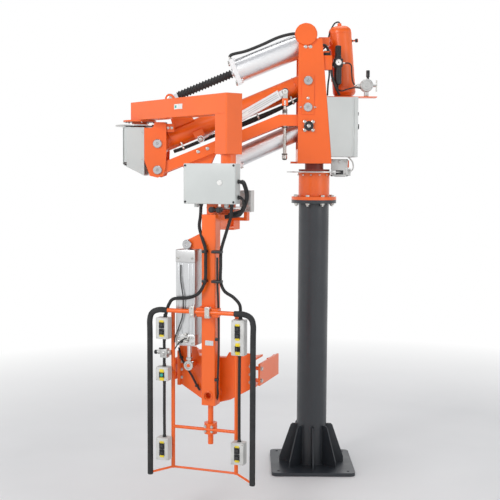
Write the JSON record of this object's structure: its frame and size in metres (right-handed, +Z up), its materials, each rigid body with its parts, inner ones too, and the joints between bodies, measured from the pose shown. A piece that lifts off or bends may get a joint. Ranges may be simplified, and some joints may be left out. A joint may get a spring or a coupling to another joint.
{
  "type": "pneumatic industrial manipulator",
  "caption": "Column-mounted pneumatic lifting manipulator with a parallelogram arm, swinging forearm, control handle frame and tilting drum gripper.",
  "frame": {"origin": "centre of the column's base plate on its underside, where the column axis meets the floor", "axes": "+Z up along the column, the arm reaches towards -X, the operator's side is -Y"},
  "size_m": [1.884, 1.674, 3.2493],
  "materials": {
    "orange_paint": "satin powder coat",
    "dark_paint": "satin anthracite paint",
    "grey_paint": "fine textured light grey",
    "plated_steel": "zinc plated",
    "disc_steel": "ground steel",
    "aluminium": "anodised",
    "black_rubber": "matt rubber",
    "black_plastic": "moulded black plastic",
    "grey_plastic": "moulded light grey plastic",
    "gauge": "white dial in black case",
    "button_black": "gloss black",
    "button_green": "gloss green"
  },
  "bodies": {
    "column": {"column": "dark_paint", "column_bolts": "plated_steel", "turret_housing": "orange_paint", "slew_bearings": "disc_steel", "slew_brake_disc": "disc_steel"},
    "head": {"head_frame": "orange_paint", "slew_shaft": "plated_steel", "head_pins": "plated_steel", "cylinder_pins": "plated_steel", "air_tank": "orange_paint", "filter_regulator": "black_plastic", "pressure_gauge": "gauge", "pilot_valve": "aluminium", "head_enclosure": "grey_paint", "slew_brake_caliper": "aluminium", "head_hoses": "black_plastic"},
    "enclosure_door": {"enclosure_door": "grey_paint"},
    "regulator_knob": {"regulator_knob": "black_plastic"},
    "valve_lever": {"valve_lever": "aluminium"},
    "main_arm": {"main_arm": "orange_paint", "arm_hoses": "black_plastic"},
    "lower_link": {"lower_link": "orange_paint", "lock_spindle": "plated_steel"},
    "upper_barrel": {"upper_cylinder_barrel": "aluminium"},
    "upper_rod": {"upper_cylinder_rod": "plated_steel", "upper_bellows": "black_rubber"},
    "lower_barrel": {"lower_cylinder_barrel": "aluminium"},
    "lower_rod": {"lower_cylinder_rod": "plated_steel"},
    "lock_barrel": {"lock_cylinder_barrel": "aluminium"},
    "lock_rod": {"lock_cylinder_rod": "plated_steel"},
    "wrist": {"wrist_frame": "orange_paint", "wrist_pins": "plated_steel", "wrist_cover": "grey_paint", "wrist_brake_caliper": "aluminium"},
    "forearm": {"forearm_beam": "orange_paint", "forearm_brake_disc": "disc_steel", "tool_brake_disc": "disc_steel"},
    "tool": {"tool_mast": "orange_paint", "tool_enclosure": "grey_paint", "tool_brake_caliper": "aluminium", "handle_frame": "orange_paint", "handle_grips": "black_rubber", "control_boxes": "grey_plastic", "control_conduits": "black_plastic"},
    "tilt_barrel": {"tilt_cylinder_barrel": "aluminium"},
    "tilt_rod": {"tilt_cylinder_rod": "plated_steel"},
    "gripper": {"gripper_frame": "orange_paint", "clamp_cylinder": "aluminium"},
    "left_jaw": {"left_jaw": "orange_paint"},
    "right_jaw": {"right_jaw": "orange_paint"},
    "button_left_top_up": {"button_left_top_up": "button_black"},
    "button_left_top_down": {"button_left_top_down": "button_black"},
    "button_left_mid_start": {"button_left_mid_start": "button_green"},
    "button_left_low_open": {"button_left_low_open": "button_black"},
    "button_left_low_close": {"button_left_low_close": "button_black"},
    "button_right_top_up": {"button_right_top_up": "button_black"},
    "button_right_top_down": {"button_right_top_down": "button_black"},
    "button_right_top_selector": {"button_right_top_selector": "button_black"},
    "button_right_low_open": {"button_right_low_open": "button_black"},
    "button_right_low_close": {"button_right_low_close": "button_black"}
  },
  "joints": [
    {"name": "slew", "type": "hinge", "parent": "column", "child": "head", "pos_m": [0, 0, 2.15], "axis": [0, 0, 1], "range_deg": [-150, 150]},
    {"name": "enclosure_door_hinge", "type": "hinge", "parent": "head", "child": "enclosure_door", "pos_m": [0.2712, 0.157, 2.487], "axis": [0, 0, 1], "range_deg": [0, 110]},
    {"name": "regulator_turn", "type": "hinge", "parent": "head", "child": "regulator_knob", "pos_m": [0.158, -0.06, 3.03], "axis": [0, 0, 1], "range_deg": [-135, 135]},
    {"name": "valve_lever_turn", "type": "hinge", "parent": "head", "child": "valve_lever", "pos_m": [0.432, -0.03, 2.788], "axis": [1, 0, 0], "range_deg": [0, 80]},
    {"name": "arm_lift", "type": "hinge", "parent": "head", "child": "main_arm", "pos_m": [-0.059, 0, 2.81], "axis": [0, 1, 0], "range_deg": [-3, 34]},
    {"name": "link_lift", "type": "hinge", "parent": "head", "child": "lower_link", "pos_m": [-0.059, 0, 2.624], "axis": [0, 1, 0], "range_deg": [-5, 35]},
    {"name": "wrist_level", "type": "hinge", "parent": "main_arm", "child": "wrist", "pos_m": [-1.12375, 0, 2.36242], "axis": [0, 1, 0], "range_deg": [-35, 5]},
    {"name": "upper_barrel_swing", "type": "hinge", "parent": "head", "child": "upper_barrel", "pos_m": [-0.068, 0, 3.089], "axis": [0, 1, 0], "range_deg": [-5, 35]},
    {"name": "upper_rod_stroke", "type": "slide", "parent": "upper_barrel", "child": "upper_rod", "axis": [-0.9249, 0, -0.3802], "range_m": [-0.168, 0.024], "deforming": ["upper_bellows"]},
    {"name": "lower_barrel_swing", "type": "hinge", "parent": "head", "child": "lower_barrel", "pos_m": [-0.052, 0, 2.492], "axis": [0, 1, 0], "range_deg": [-5, 36]},
    {"name": "lower_rod_stroke", "type": "slide", "parent": "lower_barrel", "child": "lower_rod", "axis": [-0.9123, 0, -0.4096], "range_m": [-0.012, 0.082]},
    {"name": "lock_barrel_swing", "type": "hinge", "parent": "lower_link", "child": "lock_barrel", "pos_m": [-0.22, -0.112, 2.736], "axis": [0, 1, 0], "range_deg": [-1, 3]},
    {"name": "lock_rod_stroke", "type": "slide", "parent": "lock_barrel", "child": "lock_rod", "axis": [-0.8689, 0, -0.495], "range_m": [-0.016, 0.11]},
    {"name": "forearm_swing", "type": "hinge", "parent": "wrist", "child": "forearm", "pos_m": [-1.265, 0, 2.48], "axis": [0, 0, 1], "range_deg": [-90, 5]},
    {"name": "tool_swivel", "type": "hinge", "parent": "forearm", "child": "tool", "pos_m": [-0.603, -0.8785, 1.9], "axis": [0, 0, 1], "range_deg": [-120, 120]},
    {"name": "gripper_tilt", "type": "hinge", "parent": "tool", "child": "gripper", "pos_m": [-0.67463, -1.08651, 0.795], "axis": [-0.3256, -0.9455, 0], "range_deg": [0, 88]},
    {"name": "tilt_barrel_swing", "type": "hinge", "parent": "tool", "child": "tilt_barrel", "pos_m": [-0.83494, -1.11592, 1.722], "axis": [-0.3256, -0.9455, 0], "range_deg": [-3, 3]},
    {"name": "tilt_rod_stroke", "type": "slide", "parent": "tilt_barrel", "child": "tilt_rod", "axis": [0, 0, -1], "range_m": [-0.002, 0.318]},
    {"name": "left_jaw_open", "type": "slide", "parent": "gripper", "child": "left_jaw", "axis": [-0.9455, 0.3256, 0], "range_m": [0, 0.06]},
    {"name": "right_jaw_open", "type": "slide", "parent": "gripper", "child": "right_jaw", "axis": [0.9455, -0.3256, 0], "range_m": [0, 0.06]},
    {"name": "press_left_top_up", "type": "slide", "parent": "tool", "child": "button_left_top_up", "axis": [0.3256, 0.9455, 0], "range_m": [0, 0.005], "stiffness_N_per_m": 900, "springref_m": -0.002},
    {"name": "press_left_top_down", "type": "slide", "parent": "tool", "child": "button_left_top_down", "axis": [0.3256, 0.9455, 0], "range_m": [0, 0.005], "stiffness_N_per_m": 900, "springref_m": -0.002},
    {"name": "press_left_mid_start", "type": "slide", "parent": "tool", "child": "button_left_mid_start", "axis": [0.3256, 0.9455, 0], "range_m": [0, 0.005], "stiffness_N_per_m": 900, "springref_m": -0.002},
    {"name": "press_left_low_open", "type": "slide", "parent": "tool", "child": "button_left_low_open", "axis": [0.3256, 0.9455, 0], "range_m": [0, 0.005], "stiffness_N_per_m": 900, "springref_m": -0.002},
    {"name": "press_left_low_close", "type": "slide", "parent": "tool", "child": "button_left_low_close", "axis": [0.3256, 0.9455, 0], "range_m": [0, 0.005], "stiffness_N_per_m": 900, "springref_m": -0.002},
    {"name": "press_right_top_up", "type": "slide", "parent": "tool", "child": "button_right_top_up", "axis": [0.3256, 0.9455, 0], "range_m": [0, 0.005], "stiffness_N_per_m": 900, "springref_m": -0.002},
    {"name": "press_right_top_down", "type": "slide", "parent": "tool", "child": "button_right_top_down", "axis": [0.3256, 0.9455, 0], "range_m": [0, 0.005], "stiffness_N_per_m": 900, "springref_m": -0.002},
    {"name": "turn_right_top_selector", "type": "hinge", "parent": "tool", "child": "button_right_top_selector", "pos_m": [-0.53687, -1.35605, 1.113], "axis": [0.3256, 0.9455, 0], "range_deg": [-45, 45]},
    {"name": "press_right_low_open", "type": "slide", "parent": "tool", "child": "button_right_low_open", "axis": [0.3256, 0.9455, 0], "range_m": [0, 0.005], "stiffness_N_per_m": 900, "springref_m": -0.002},
    {"name": "press_right_low_close", "type": "slide", "parent": "tool", "child": "button_right_low_close", "axis": [0.3256, 0.9455, 0], "range_m": [0, 0.005], "stiffness_N_per_m": 900, "springref_m": -0.002}
  ],
  "couplings": [
    {"joint": "link_lift", "follows": "arm_lift", "ratio": 1},
    {"joint": "wrist_level", "follows": "arm_lift", "ratio": -1},
    {"joint": "upper_barrel_swing", "follows": "arm_lift", "ratio": 0.9812},
    {"joint": "upper_rod_stroke", "follows": "arm_lift", "m_per_rad": -0.2745},
    {"joint": "lower_barrel_swing", "follows": "arm_lift", "ratio": 1.01},
    {"joint": "lower_rod_stroke", "follows": "arm_lift", "m_per_rad": 0.1299},
    {"joint": "lock_barrel_swing", "follows": "arm_lift", "ratio": 0.0507},
    {"joint": "lock_rod_stroke", "follows": "arm_lift", "m_per_rad": 0.1794},
    {"joint": "tilt_barrel_swing", "follows": "gripper_tilt", "ratio": -0.01846},
    {"joint": "tilt_rod_stroke", "follows": "gripper_tilt", "m_per_rad": 0.20082},
    {"joint": "right_jaw_open", "follows": "left_jaw_open", "ratio": 1}
  ]
}
